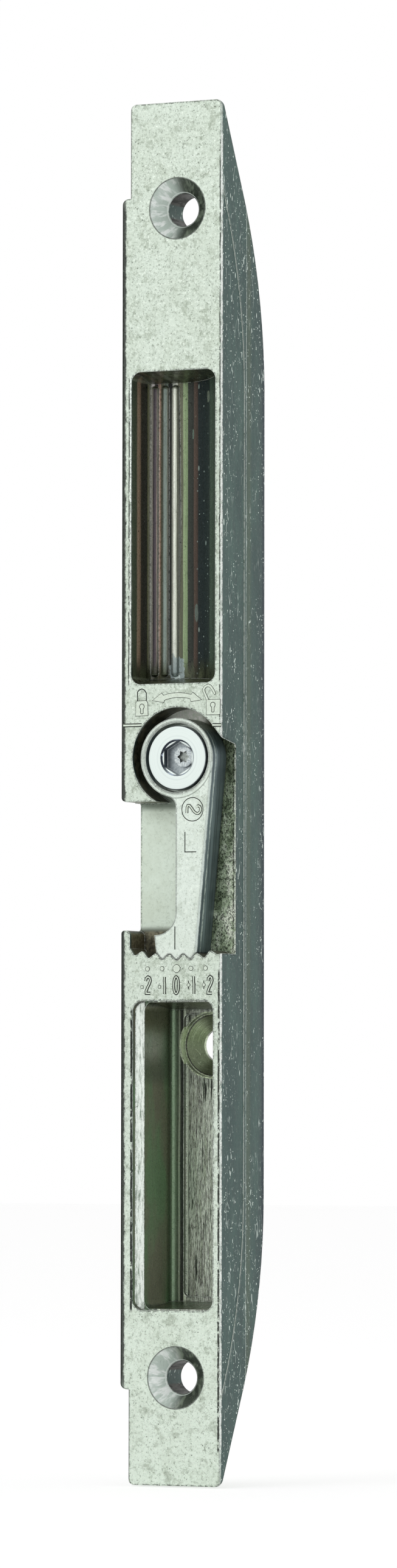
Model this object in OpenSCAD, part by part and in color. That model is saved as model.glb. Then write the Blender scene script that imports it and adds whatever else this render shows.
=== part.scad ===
// Adjustable strike for a multipoint door lock.
// Frame: X across the plate, Y into the door frame, Z up along the plate.
// The origin is on the flat back, on the line of the two end screws, half way between them.
// The modules below measure Y from the front face, and seated() moves them to the back face.

/* [Body] */
// Overall length of the plate
body_len = 200; // [190:1:240]
// Width of the narrow ends
end_w = 14.8; // [14:0.1:17]
// Distance from the line of the end screws to the right flank
screw_side = 7.2; // [7:0.1:8]
// Extra width of the middle, on the left
side_step = 1.45; // [1.2:0.05:2.4]
// Length of each narrow end
end_len = 13.7; // [12:0.1:15]
// Depth from the front face to the flat back
body_depth = 14.5; // [13.5:0.1:18]
// Slope of the back at each end, in degrees
end_slope = 28; // [24:1:34]
// Thickness left at each end edge
end_edge = 0.3; // [0.2:0.1:1]
// Reach of the round blend from each slope's corner, along the slope and along the flat
blend_reach = 14; // [8:0.5:18]
// Radius of the corners of the narrow ends
corner_r = 1; // [0.4:0.1:1.2]
// Radius of the shoulders of the wide middle
shoulder_r = 1.3; // [0.8:0.1:1.4]
// Rounding of the long front edge on the left
left_edge_r = 0.6; // [0.3:0.1:1]
// Chamfer of the long front edge on the right
right_chamfer = 0.2; // [0.1:0.05:0.6]
// Height of the seam that the die halves leave on the right flank
seam_h = 0.08; // [0.04:0.01:0.2]
// Width of that seam
seam_w = 0.3; // [0.2:0.05:0.6]
// Distance of that seam in front of the back
seam_back = 6.7; // [5:0.1:8]

/* [Fixing holes] */
// Diameter of the screw holes
hole_d = 4.8; // [4:0.1:5.4]
// Diameter of the countersinks
sink_d = 8.9; // [8:0.1:9.6]
// Depth of the end countersinks
sink_depth = 2.2; // [1.6:0.1:2.8]
// Distance of each end screw from the end
hole_end_dist = 15.5; // [13:0.1:17]
// Thickness left under the end screws, in front of the round reliefs in the back
hole_land = 6.8; // [5:0.1:7]
// Diameter of those reliefs
relief_d = 7; // [6:0.1:9]
// Distance of the third screw below the top of the lower pocket
pocket_hole_drop = 6.3; // [6:0.1:14]
// Offset of the third screw from the line of the others
pocket_hole_x = 0.3; // [0:0.1:0.6]
// Diameter of the spot face round the third screw
spot_d = 9.3; // [9.2:0.1:10]
// Depth of that spot face
spot_depth = 0.9; // [0.4:0.1:1.1]
// Depth of the third countersink
pocket_sink_depth = 1.9; // [1.4:0.1:2]

/* [Upper pocket] */
// Width of the upper pocket
upper_w = 13.5; // [12:0.1:13.7]
// Length of the upper pocket
upper_len = 45.4; // [30:0.1:46]
// Corner radius of both pockets
pocket_r = 1.5; // [1.2:0.1:3]
// Depth of the upper pocket
upper_depth = 6.4; // [5.5:0.1:8]
// Lean of the end walls of both pockets
end_lean = 1.1; // [0.6:0.1:1.3]
// Margin between the right flank and the upper pocket
upper_margin = 1.05; // [0.9:0.05:1.6]
// Web between the lever recess and the upper pocket
upper_web = 3.45; // [3:0.05:6]
// Fillet at the foot of the pocket walls
foot_r = 0.8; // [0.4:0.1:1.2]
// Radius of the trough on the right of the upper pocket
trough_r = 8.3; // [8.1:0.1:10]
// Number of ribs on the floor of the upper pocket
rib_n = 5; // [2:1:5]
// Distance between neighbouring ribs
rib_pitch = 1.65; // [1.4:0.05:1.8]
// Radius of each rib
rib_r = 0.6; // [0.3:0.05:0.7]
// Distance of the first rib from the left wall
rib_start = 0.75; // [0.7:0.05:1.2]
// Distance of the rib ends from the end walls
rib_inset = 1.4; // [0.8:0.1:4]

/* [Lower pocket] */
// Width of the lower pocket
lower_w = 12.85; // [12:0.05:13.4]
// Length of the lower pocket
lower_len = 44.6; // [30:0.1:46]
// Margin between the right flank and the lower pocket
lower_margin = 1.3; // [1:0.1:1.8]
// Strip of the front face that carries the scale
scale_strip = 5.85; // [5:0.05:8]
// Width of the bevel along the left of the lower pocket
bevel_w = 1.1; // [0.6:0.05:1.6]
// Depth at which that bevel starts
bevel_start = 0.8; // [0.4:0.05:1.2]
// Depth at which it meets the wall
bevel_end = 1.7; // [1.3:0.05:2.4]
// Depth of the lower pocket at the ledge round its floor
lower_ledge_depth = 10.4; // [9:0.1:10.6]
// Depth of the lower pocket at its floor
lower_depth = 11.05; // [10.8:0.05:11.2]
// Width of that ledge on the left
ledge_w = 2.1; // [1:0.05:2.2]
// Width of that ledge on the right
ledge_right_w = 0.6; // [0.3:0.05:0.9]
// Width of that ledge at both ends
ledge_end_w = 1.8; // [1.6:0.1:2.2]

/* [Lever recess] */
// Height of the lever's pivot above the middle of the plate
pivot_z = 4.75; // [0:0.05:6]
// Radius of the recess round the lever head
recess_r = 7.2; // [7.1:0.05:7.3]
// Distance of the recess above and to the right of the pivot
recess_off = 0.12; // [0:0.02:0.2]
// Direction from the recess's centre in which its wall turns into the notch through the right flank
notch_turn = 38.5; // [36:0.5:45]
// Distance that the top of that notch leans in over its depth
notch_lean = 0.5; // [0.2:0.05:0.6]
// Depth of the recess, the window and the notch
recess_depth = 4.85; // [4.4:0.05:5.6]
// Top of the window below the pivot
window_drop = 6.25; // [6:0.05:6.6]
// Length of the open window on the left
window_len = 18.6; // [14:0.1:19]
// Depth that the window cuts into the left flank
window_bite = 0.95; // [0.5:0.05:1.4]
// Radius of the corners of that cut
window_corner_r = 0.4; // [0.3:0.05:0.5]
// Width of the post between the rack and the left flank
post_w = 1.6; // [1.4:0.1:1.9]

/* [Rack and teeth] */
// Distance from the pivot to the tips of the lever teeth
tooth_tip_r = 29.1; // [28:0.1:30]
// Depth to which the lever teeth reach into the rack
mesh_depth = 0.65; // [0.5:0.05:0.7]
// Gap between the tooth tips and the bottom of the rack
root_gap = 0.1; // [0.06:0.01:0.2]
// Gap between the flanks of the teeth, along the rack
flank_gap = 0.08; // [0.06:0.01:0.12]
// Angle from one rack notch to the next, in degrees
tooth_angle = 4.4; // [4.2:0.1:4.6]
// Number of settings of the lever
settings = 5; // [3:2:5]
// Number of teeth on the lever
tooth_n = 3; // [3:2:3]
// Width left on the crest between two notches
crest_w = 0.35; // [0.25:0.05:0.5]
// Width at the bottom of a notch
notch_w = 0.3; // [0.2:0.05:0.4]

/* [Lever] */
// Radius of the lever head
lever_head_r = 5.75; // [5.6:0.05:5.85]
// Gap between the lever and the bottom of its recess
lever_seat_gap = 0.1; // [0.05:0.01:0.2]
// Left edge of the lever arm, from the pivot line
arm_left = -0.1; // [-0.3:0.05:0.3]
// Radius that blends the head into the arm
neck_r = 1.6; // [1:0.1:2]
// Radius that blends the arm into the foot
ankle_r = 3.2; // [2.5:0.1:3.6]
// Height of the foot at its heel
heel_h = 2.6; // [1.5:0.1:3]
// Chamfer along the edges of the lever
lever_chamfer = 0.25; // [0.1:0.05:0.4]
// Width of the shallow ring faced round the counterbore
faced_ring_w = 0.32; // [0.2:0.01:0.4]
// Depth of that faced ring
faced_ring_depth = 0.12; // [0.05:0.01:0.2]

/* [Eccentric] */
// Diameter of the eccentric's head
head_d = 9.35; // [9:0.05:9.5]
// Depth of the head's face below the front face
head_sink = 0.2; // [0.1:0.05:0.4]
// Thickness of the head
head_t = 1.55; // [1.5:0.05:1.9]
// Gap round the head in the lever
head_gap = 0.35; // [0.3:0.05:0.4]
// Diameter of the shoulder that carries the lever
shoulder_d = 6.8; // [6.4:0.1:7]
// Gap round the shoulder in the lever
shoulder_gap = 0.25; // [0.22:0.01:0.3]
// Offset between the shoulder and the rivet it turns on
throw = 0.55; // [0.5:0.01:0.58]
// Direction from the shoulder's centre to the rivet, in degrees above the plate's width
throw_angle = 19; // [10:1:45]
// Width across flats of the key socket
key_af = 4.4; // [4:0.1:4.5]
// Depth of the key socket
key_depth = 1.4; // [1.35:0.05:1.6]
// Chamfer at the mouth of the key socket
key_chamfer = 0.15; // [0.1:0.05:0.25]

/* [Rivet] */
// Diameter of the rivet where the eccentric turns
rivet_d = 2.2; // [1.8:0.1:2.3]
// Diameter of the rivet in the body
rivet_body_d = 3.6; // [3:0.1:4.2]
// Diameter of the head formed at the front
formed_d = 3.1; // [2.8:0.05:3.15]
// Thickness of that head
formed_t = 0.35; // [0.2:0.05:0.5]
// Diameter of the head at the back
back_head_d = 5.4; // [5:0.1:7]
// Thickness of the head at the back
back_head_t = 1.3; // [1:0.1:2]
// Depth of the back head below the flat back
back_head_sink = 0.15; // [0.05:0.05:0.5]
// Radius to the tips of the star pressed into the formed head
star_r = 0.98; // [0.7:0.02:1.1]
// Share of that radius at the hollow of each side of the star
star_waist = 0.66; // [0.6:0.02:0.85]
// Depth of that star
star_depth = 0.5; // [0.3:0.05:0.8]

/* [Clearances] */
// Radial clearance where the eccentric turns on the rivet
run_gap = 0.05; // [0.03:0.01:0.08]
// Clearance between faces that slide on each other
slide_gap = 0.05; // [0.03:0.01:0.08]
// Clearance of the rivet in the body
rivet_fit_gap = 0.03; // [0.02:0.01:0.06]

/* [Hidden] */
$fn = 96;
past = 1;
zinc = "#d3ddd2";
// A round that runs into a straight edge bites this much into it, so that the two cross cleanly.
bite = 0.005;
lever_zinc = "#dde5dc";
bright_steel = "#eef2f3";
rivet_steel = "#b9c2bf";

half_len = body_len / 2;
right_x = screw_side;
narrow_left_x = screw_side - end_w;
left_x = narrow_left_x - side_step;

// Side profile of the back: where each slope would meet the flat, and the round blend there.
// The blend meets both lines at a slight angle, so that it crosses them cleanly.
blend_kink = 1;
slope_corner_z = half_len - (body_depth - end_edge) / tan(end_slope);
blend_chord = blend_reach * cos(end_slope / 2);
back_blend_r = blend_chord / sin(end_slope / 2 - blend_kink);
blend_centre = blend_reach * sin(end_slope / 2) + sqrt(pow(back_blend_r, 2) - pow(blend_chord, 2));
blend_y = body_depth - blend_centre * cos(end_slope / 2);
blend_z = slope_corner_z - blend_centre * sin(end_slope / 2);
blend_stop = blend_reach + back_blend_r * sin(blend_kink);

// Places along the plate
hole_z = half_len - hole_end_dist;
recess_top = pivot_z + recess_off + recess_r;
upper_bottom = recess_top + upper_web;
upper_top = upper_bottom + upper_len;
window_top = pivot_z - window_drop;
window_bottom = window_top - window_len;
rack_root_r = tooth_tip_r + root_gap;
rack_crest_r = tooth_tip_r - mesh_depth;
lever_root_r = rack_crest_r - root_gap;
rack_bottom = pivot_z - rack_root_r;
lower_top = rack_bottom - scale_strip;
pocket_hole_z = lower_top - pocket_hole_drop;
post_right_x = left_x + post_w;

// Places across the plate
upper_right = right_x - upper_margin;
upper_left = upper_right - upper_w;
lower_right = right_x - lower_margin;
lower_left = lower_right - lower_w;
well_left = lower_left + bevel_w;
trough_x = upper_right - sqrt(pow(trough_r, 2) - pow(trough_r - upper_depth + 0.4, 2));

// The rivet stands to the right of the shoulder's centre while the teeth are in mesh.
throw_x = throw * cos(throw_angle);
throw_z = throw * sin(throw_angle);
rivet_x = throw_x;
rivet_z = pivot_z + throw_z;

// Levels of the pivot group, from the front face
lever_back = recess_depth - lever_seat_gap;
head_back = head_sink + head_t;
head_seat = head_back + slide_gap;
shoulder_back = recess_depth - slide_gap;
key_floor = head_sink + key_depth;
formed_back = key_floor - slide_gap;
formed_front = formed_back - formed_t;
counterbore_r = head_d / 2 + head_gap;
back_bore_front = body_depth - back_head_sink - back_head_t;
back_bore_r = back_head_d / 2 + rivet_fit_gap;
// Half the width of a rack notch at a radius r, and of a lever tooth
notch_half_top = (rack_crest_r * tooth_angle * PI / 180 - crest_w) / 2;
flank_rate = (notch_half_top - notch_w / 2) / (rack_root_r - rack_crest_r);
function notch_half(r) = notch_w / 2 + (rack_root_r - r) * flank_rate;
function tooth_half(r) = notch_half(r) - flank_gap;

// Foot of the lever
foot_half_angle = tooth_angle * tooth_n / 2 - 0.1;
foot_x = lever_root_r * sin(foot_half_angle);
foot_z = -lever_root_r * cos(foot_half_angle);
heel_top_z = foot_z + heel_h;
heel_top_x = -foot_x - 0.3;

module seated() {
    translate([0, -body_depth, 0]) children();
}

// A flat shape seen from the front, made solid between two depths.
module slab(y0, y1) {
    translate([0, y1, 0]) rotate([90, 0, 0]) linear_extrude(y1 - y0) children();
}

// A shape seen from the side, made solid between two places across the plate.
module side_slab(x0, x1) {
    translate([x0, 0, 0]) rotate([90, 0, 90]) linear_extrude(x1 - x0) children();
}

// A round hole or shaft along the depth.
module drill(x, z, r, y0, y1) {
    translate([x, y1, z]) rotate([90, 0, 0]) cylinder(h = y1 - y0, r = r);
}

// A cone along the depth, with its front and back radius.
module cone(x, z, r_front, r_back, y0, y1) {
    translate([x, y1, z]) rotate([90, 0, 0]) cylinder(h = y1 - y0, r1 = r_back, r2 = r_front);
}

module rounded_rect(x0, z0, x1, z1, r) {
    translate([x0 + r, z0]) square([x1 - x0 - 2 * r, z1 - z0]);
    translate([x0, z0 + r]) square([x1 - x0, z1 - z0 - 2 * r]);
    for (x = [x0 + r, x1 - r], z = [z0 + r, z1 - r]) translate([x, z]) circle(r);
}

// What a fillet of radius r leaves in a square corner, with the corner at the origin.
module corner_fill(r, turn) {
    rotate(turn) difference() {
        translate([-past, -past]) square(r + past);
        translate([r, r]) circle(r);
        translate([-past, r]) square([past, past]);
        translate([r, -past]) square([past, past]);
    }
}

module side_profile() {
    difference() {
        polygon([
            [0, -half_len], [end_edge, -half_len], [body_depth, -slope_corner_z],
            [body_depth, slope_corner_z], [end_edge, half_len], [0, half_len]
        ]);
        for (s = [-1, 1]) difference() {
            polygon([
                [body_depth - past, s * (slope_corner_z - blend_stop)],
                [body_depth + past, s * (slope_corner_z - blend_stop)],
                [body_depth + past, s * half_len],
                [body_depth - blend_stop * sin(end_slope), s * (slope_corner_z + blend_stop * cos(end_slope) + past)],
                [body_depth - blend_stop * sin(end_slope) - past, s * (slope_corner_z + blend_stop * cos(end_slope))]
            ]);
            translate([blend_y, s * blend_z]) circle(back_blend_r, $fn = 360);
        }
    }
}

module front_outline() {
    rounded_rect(narrow_left_x, -half_len, right_x, half_len, corner_r);
    difference() {
        translate([left_x, -half_len + end_len]) square([right_x - left_x - corner_r, body_len - 2 * end_len]);
        translate([left_x, -half_len + end_len]) corner_fill(shoulder_r, 0);
        translate([left_x, half_len - end_len]) corner_fill(shoulder_r, -90);
    }
}

module long_edges() {
    // Rounded front edge on the left of the wide middle
    translate([left_x, 0, -half_len]) linear_extrude(body_len) difference() {
        translate([-past, -past]) square(left_edge_r + past);
        translate([left_edge_r, left_edge_r]) circle(left_edge_r);
    }
    // Chamfer of the right front edge
    translate([right_x, 0, -half_len - past]) linear_extrude(body_len + 2 * past) polygon([
        [-right_chamfer, 0], [-right_chamfer, -past], [past, -past], [past, right_chamfer], [0, right_chamfer]
    ]);
    // The same chamfer on the left of the narrow ends
    for (z = [-half_len - past, half_len - end_len]) translate([narrow_left_x, 0, z])
        linear_extrude(end_len + past) polygon([
            [right_chamfer, 0], [right_chamfer, -past], [-past, -past], [-past, right_chamfer], [0, right_chamfer]
        ]);
}

module end_holes() {
    for (s = [-1, 1]) {
        drill(0, s * hole_z, hole_d / 2, -past, body_depth + past);
        cone(0, s * hole_z, sink_d / 2, hole_d / 2, 0, sink_depth);
        drill(0, s * hole_z, sink_d / 2, -past, 0);
        drill(0, s * hole_z, relief_d / 2, hole_land, body_depth + past);
    }
}

module ribs() {
    for (i = [0:rib_n - 1]) {
        x = upper_left + rib_start + i * rib_pitch;
        dx = max(0, x - trough_x);
        y = upper_depth - trough_r + sqrt(pow(trough_r, 2) - pow(dx, 2));
        z0 = upper_bottom + rib_inset + rib_r;
        z1 = upper_top - rib_inset - rib_r;
        translate([x, y, z0]) cylinder(h = z1 - z0, r = rib_r, $fn = 48);
        for (z = [z0, z1]) translate([x, y, z]) sphere(rib_r, $fn = 48);
    }
}

// Section of the upper pocket: a square left wall, a flat floor and a round trough on the right.
module upper_section() {
    intersection() {
        translate([upper_left, -past]) square([upper_w, upper_depth + past]);
        union() {
            translate([upper_left, -past]) square([trough_x - upper_left, upper_depth + past]);
            translate([trough_x, upper_depth - trough_r]) circle(trough_r, $fn = 180);
            translate([trough_x, -past]) square([upper_right - trough_x, past]);
        }
    }
}

// Long profile of a pocket whose end walls lean inwards with depth.
module leaning_ends(z0, z1, depth) {
    polygon([
        [-past, z0], [0, z0], [depth, z0 + end_lean], [depth, z1 - end_lean], [0, z1], [-past, z1]
    ]);
}

module upper_pocket() {
    difference() {
        intersection() {
            slab(-past, body_depth) rounded_rect(upper_left, upper_bottom, upper_right, upper_top, pocket_r);
            side_slab(upper_left, upper_right) leaning_ends(upper_bottom, upper_top, upper_depth);
            translate([0, 0, upper_bottom]) linear_extrude(upper_len) difference() {
                upper_section();
                translate([upper_left, upper_depth]) corner_fill(foot_r, -90);
            }
        }
        ribs();
    }
}

module lower_pocket() {
    z0 = lower_top - lower_len;
    intersection() {
        slab(-past, bevel_end) rounded_rect(lower_left, z0, lower_right, lower_top, pocket_r);
        translate([0, 0, z0]) linear_extrude(lower_len) polygon([
            [lower_left, -past], [lower_left, bevel_start], [well_left, bevel_end],
            [lower_right, bevel_end], [lower_right, -past]
        ]);
    }
    intersection() {
        slab(0, lower_ledge_depth) rounded_rect(well_left, z0, lower_right, lower_top, pocket_r);
        side_slab(well_left, lower_right) leaning_ends(z0, lower_top, lower_ledge_depth);
        translate([0, 0, z0]) linear_extrude(lower_len) difference() {
            translate([well_left, 0]) square([lower_right - well_left, lower_ledge_depth]);
            translate([well_left, lower_ledge_depth]) corner_fill(foot_r, -90);
        }
    }
    slab(lower_ledge_depth - past, lower_depth) rounded_rect(
        well_left + ledge_w, z0 + ledge_end_w, lower_right - ledge_right_w, lower_top - ledge_end_w, foot_r);
}

module pocket_hole() {
    sink_y = lower_depth + spot_depth;
    hole_y = sink_y + pocket_sink_depth;
    drill(pocket_hole_x, pocket_hole_z, spot_d / 2, lower_ledge_depth - past, sink_y);
    cone(pocket_hole_x, pocket_hole_z, sink_d / 2, hole_d / 2, sink_y, hole_y);
    drill(pocket_hole_x, pocket_hole_z, hole_d / 2, hole_y, body_depth + past);
}

// One notch of the rack, or one tooth of the lever, pointing down from the pivot.
module wedge_tooth(r0, half0, r1, half1) {
    polygon([[-half0, -r0], [-half1, -r1], [half1, -r1], [half0, -r0]]);
}

module rack_cut() {
    notches = (settings + tooth_n - 2) / 2;
    r0 = rack_crest_r - root_gap;
    intersection() {
        translate([post_right_x, rack_bottom - past]) square([right_x - post_right_x + past, window_bottom - rack_bottom + 4 * past]);
        translate([0, pivot_z]) union() {
            circle(rack_crest_r, $fn = 360);
            for (i = [-notches:notches]) rotate(i * tooth_angle)
                wedge_tooth(r0, notch_half(r0), rack_root_r, notch_half(rack_root_r));
            // The last notch runs out through the right flank
            rotate(notches * tooth_angle) translate([-notch_w / 2, -rack_root_r]) square([tooth_tip_r / 4, rack_root_r - r0]);
        }
    }
}

// Where the recess turns into the notch through the right flank, from the recess's centre
notch_x = (recess_r - bite) * cos(notch_turn);
notch_z = (recess_r - bite) * sin(notch_turn);
notch_reach = right_x - recess_off + past;

// Everything that is open for the lever, seen from the front.
module lever_space() {
    translate([recess_off, pivot_z + recess_off]) {
        circle(recess_r);
        polygon([
            [0, 0], [notch_x, notch_z], [notch_reach, notch_z - (notch_reach - notch_x) / tan(notch_turn)],
            [notch_reach, window_bottom - pivot_z], [0, window_bottom - pivot_z]
        ]);
    }
    translate([left_x - past, window_bottom]) square([2 * past + recess_off - left_x, window_len]);
    rack_cut();
}

// What the leaning top of the notch leaves of the space above.
module notch_top() {
    translate([recess_off + notch_x, 0, pivot_z + recess_off + notch_z])
        rotate([0, 180 - notch_turn, 0]) translate([0, 0, -recess_r / 2]) linear_extrude(recess_r) polygon([
            [-past, bite], [0, bite], [notch_lean, recess_depth], [notch_lean, recess_depth + past], [-past, recess_depth + past]
        ]);
}

module window_corners() {
    // Rounded corners where the window opens through the left flank
    slab(-past, recess_depth) translate([left_x, window_top]) corner_fill(corner_r, 0);
    slab(-past, recess_depth) translate([left_x, window_bottom]) corner_fill(post_w / 2, -90);
    slab(-past, recess_depth) translate([post_right_x, window_bottom]) corner_fill(post_w / 2, 180);
}

module window_flank() {
    slab(recess_depth - past, body_depth + past) rounded_rect(
        left_x - 2 * past, window_bottom, left_x + window_bite, window_top, window_corner_r);
}

module rivet_bore() {
    drill(rivet_x, rivet_z, rivet_body_d / 2 + rivet_fit_gap, recess_depth - past, body_depth);
    drill(rivet_x, rivet_z, back_bore_r, back_bore_front, body_depth + past);
}

// Raised seam on the right flank, parallel to the back.
module seam() {
    side_slab(right_x - past, right_x + seam_h) intersection() {
        difference() {
            translate([-seam_back, 0]) side_profile();
            translate([-seam_back - seam_w, 0]) side_profile();
        }
        translate([right_chamfer, -half_len]) square([body_depth, body_len]);
        difference() {
            translate([right_chamfer, -half_len]) square([body_depth, body_len]);
            translate([0, rack_bottom]) square([recess_depth, recess_top - rack_bottom]);
        }
    }
}

module body() {
    color(zinc) seated() difference() {
        union() {
            intersection() {
                slab(0, body_depth) front_outline();
                side_slab(left_x - past, right_x + past) side_profile();
            }
            seam();
        }
        long_edges();
        end_holes();
        upper_pocket();
        lower_pocket();
        pocket_hole();
        difference() {
            slab(-past, recess_depth) lever_space();
            notch_top();
        }
        window_corners();
        window_flank();
        rivet_bore();
    }
}

// Point where a line from the foot's right corner touches the lever head.
foot_dist = sqrt(pow(foot_x, 2) + pow(foot_z, 2));
touch_angle = atan2(foot_z, foot_x) + acos(lever_head_r / foot_dist);
touch_x = lever_head_r * cos(touch_angle);
touch_z = lever_head_r * sin(touch_angle);

neck_x = arm_left - neck_r + bite;
neck_z = -sqrt(pow(lever_head_r + neck_r - bite, 2) - pow(neck_x, 2));
ankle_x = arm_left - ankle_r + bite;
ankle_z = heel_top_z + ankle_r - bite;

module lever_outline() {
    circle(lever_head_r);
    intersection() {
        circle(lever_root_r, $fn = 360);
        polygon([
            [arm_left, 0], [touch_x, touch_z], [foot_x, foot_z], [foot_x, foot_z - past],
            [-foot_x, foot_z - past], [-foot_x, foot_z], [heel_top_x, heel_top_z],
            [arm_left, heel_top_z]
        ]);
    }
    // Ankle: the corner between arm and foot, with a round cut out of it
    difference() {
        translate([ankle_x, ankle_z - ankle_r - 0.2]) square([ankle_r + 0.2, ankle_r + 0.2]);
        translate([ankle_x, ankle_z]) circle(ankle_r);
    }
    // Neck: the corner between head and arm, with a round cut out of it
    difference() {
        polygon([[0, 0], [neck_x, neck_z], [arm_left + 0.2, neck_z]]);
        translate([neck_x, neck_z]) circle(neck_r);
    }
    for (i = [-(tooth_n - 1) / 2:(tooth_n - 1) / 2]) rotate(i * tooth_angle)
        wedge_tooth(lever_root_r - root_gap, tooth_half(lever_root_r - root_gap) - flank_gap,
            tooth_tip_r, tooth_half(tooth_tip_r));
}

module lever_chamfers() {
    // Along the right edge, from the head to the foot
    edge_len = sqrt(pow(foot_x - touch_x, 2) + pow(foot_z - touch_z, 2));
    edge_turn = atan2(foot_x - touch_x, -(foot_z - touch_z));
    translate([touch_x, 0, touch_z]) rotate([0, -edge_turn, 0]) translate([0, 0, -edge_len - past])
        linear_extrude(edge_len + past) polygon([
            [-lever_chamfer, 0], [-lever_chamfer, -past], [past, -past], [past, lever_chamfer], [0, lever_chamfer]
        ]);
}

module lever() {
    bore_r = shoulder_d / 2 + shoulder_gap;
    color(lever_zinc) seated() translate([0, 0, pivot_z]) difference() {
        slab(0, lever_back) lever_outline();
        lever_chamfers();
        drill(0, 0, bore_r, -past, recess_depth);
        drill(0, 0, counterbore_r, -past, head_seat);
        drill(0, 0, counterbore_r + faced_ring_w, -past, faced_ring_depth);
    }
}

module eccentric() {
    socket_r = key_af / sqrt(3);
    color(bright_steel) seated() difference() {
        translate([0, 0, pivot_z]) union() {
            drill(0, 0, head_d / 2, head_sink + 0.15, head_back);
            cone(0, 0, head_d / 2 - 0.15, head_d / 2, head_sink, head_sink + 0.15);
            drill(0, 0, shoulder_d / 2, head_sink, shoulder_back);
        }
        translate([0, key_floor, pivot_z]) rotate([90, 30, 0]) cylinder(h = key_depth + past, r = socket_r, $fn = 6);
        cone(0, pivot_z, socket_r + key_chamfer, socket_r - 0.1, head_sink, head_sink + key_chamfer + 0.1);
        drill(rivet_x, rivet_z, rivet_d / 2 + run_gap, 0, recess_depth);
    }
}

// Six-pointed star with slightly hollow sides
module star() {
    polygon([for (i = [0:11]) (i % 2 == 0 ? star_r : star_r * star_waist) * [cos(i * 30), sin(i * 30)]]);
}

module rivet() {
    color(rivet_steel) seated() translate([rivet_x, 0, rivet_z]) difference() {
        union() {
            drill(0, 0, formed_d / 2, formed_front, formed_back);
            drill(0, 0, rivet_d / 2, formed_front, body_depth - back_head_sink);
            drill(0, 0, rivet_body_d / 2, recess_depth, body_depth - back_head_sink);
            drill(0, 0, back_head_d / 2, back_bore_front, body_depth - back_head_sink);
        }
        slab(formed_front - past, formed_front + star_depth) star();
    }
}

body();
lever();
eccentric();
rivet();
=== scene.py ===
import math
import random

import bpy
from mathutils import Matrix, Vector


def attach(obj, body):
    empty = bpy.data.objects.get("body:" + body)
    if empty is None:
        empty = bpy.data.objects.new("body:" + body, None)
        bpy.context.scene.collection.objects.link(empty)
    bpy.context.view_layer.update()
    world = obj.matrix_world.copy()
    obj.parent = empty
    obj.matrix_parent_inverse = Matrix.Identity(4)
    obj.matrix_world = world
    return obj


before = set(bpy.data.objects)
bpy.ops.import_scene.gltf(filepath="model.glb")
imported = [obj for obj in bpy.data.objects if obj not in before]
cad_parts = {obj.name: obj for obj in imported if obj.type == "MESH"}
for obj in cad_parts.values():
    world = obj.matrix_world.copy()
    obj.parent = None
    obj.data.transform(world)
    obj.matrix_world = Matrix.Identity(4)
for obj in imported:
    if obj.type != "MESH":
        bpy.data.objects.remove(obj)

random.seed(7)
MM = 0.001
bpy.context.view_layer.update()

# Levels and places in millimetres, in the part's frame. Depth is measured from the front face.
FRONT_Y = -14.5
LEVER_Y = FRONT_Y
LEFT_EDGE_X = -8.9
PIVOT_Z = 4.75
RIVET = (0.52, 4.929)
RIVET_HEAD_R = 1.42
DISC_R = 4.5
SOCKET_R = 3.0
TURNED_LINE_R = 3.12
HEAD_LINE_R = 5.75
PARTING_DEPTH = 8.33

# The pockets, the recess behind the lever and the part of its floor above the lever's head.
UPPER_X, UPPER_Z = (-7.45, 6.2), (15.3, 61.1)
LOWER_X, LOWER_Z = (-6.98, 5.95), (-75.0, -30.2)
RECESS_X, RECESS_Z = (LEFT_EDGE_X, 7.2), (-25.5, 14.0)
RECESS_DEPTH = 4.85
HEAD_FLOOR_Z = (8.4, 9.2)
RACK_FLOOR_Z = -20.0

# The countersunk holes: centres, bore, the line inside the rim, and how far their colours reach.
SCREW_Z = 84.5
POCKET_HOLE = (0.3, -36.6)
BORE_R = 2.5
RIM_LINE_R = 4.4
SINK_R = 5.0
POCKET_RIM_LINE_R = 4.35
POCKET_SINK_R = 4.9

# The camera fitted to the photograph: its frame and focal length in pixels, angles in degrees.
PHOTO_W, PHOTO_H, FOCAL_PX = 653, 2576, 11254.06
YAW, ELEVATION, ROLL = 25.7314, -2.8215, 0.0819
AIM, DISTANCE = (3.549, FRONT_Y, 0.8806), 987.137
SENSOR = 36.0


# Camera and light

def camera_axes():
    """The camera's place in millimetres, and the ways it looks, right and up."""
    yaw, elevation, roll = (math.radians(angle) for angle in (YAW, ELEVATION, ROLL))
    flat = math.cos(elevation)
    ahead = Vector((-math.sin(yaw) * flat, math.cos(yaw) * flat, -math.sin(elevation)))
    level = Vector((math.cos(yaw), math.sin(yaw), 0.0))
    rise = level.cross(ahead)
    right = level * math.cos(roll) + rise * math.sin(roll)
    up = rise * math.cos(roll) - level * math.sin(roll)
    return Vector(AIM) - ahead * DISTANCE, ahead, right, up


def on_face(pixels):
    """Where the sight lines through pixels of the photograph meet the front face, as (x, z)."""
    eye, ahead, right, up = camera_axes()
    places = []
    for px, py in pixels:
        ray = ahead + right * ((px - PHOTO_W / 2) / FOCAL_PX) + up * ((PHOTO_H / 2 - py) / FOCAL_PX)
        hit = eye + ray * ((FRONT_Y - eye.y) / ray.y)
        places.append((round(hit.x, 2), round(hit.z, 2)))
    return places


def make_camera():
    eye, ahead, right, up = camera_axes()
    place = eye * MM
    data = bpy.data.cameras.new("camera")
    data.sensor_width = SENSOR
    data.lens = FOCAL_PX / PHOTO_H * SENSOR
    data.clip_start = 0.01
    camera = bpy.data.objects.new("camera", data)
    bpy.context.collection.objects.link(camera)
    camera.matrix_world = Matrix((
        (right.x, up.x, -ahead.x, place.x),
        (right.y, up.y, -ahead.y, place.y),
        (right.z, up.z, -ahead.z, place.z),
        (0, 0, 0, 1),
    ))
    bpy.context.scene.camera = camera


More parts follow.
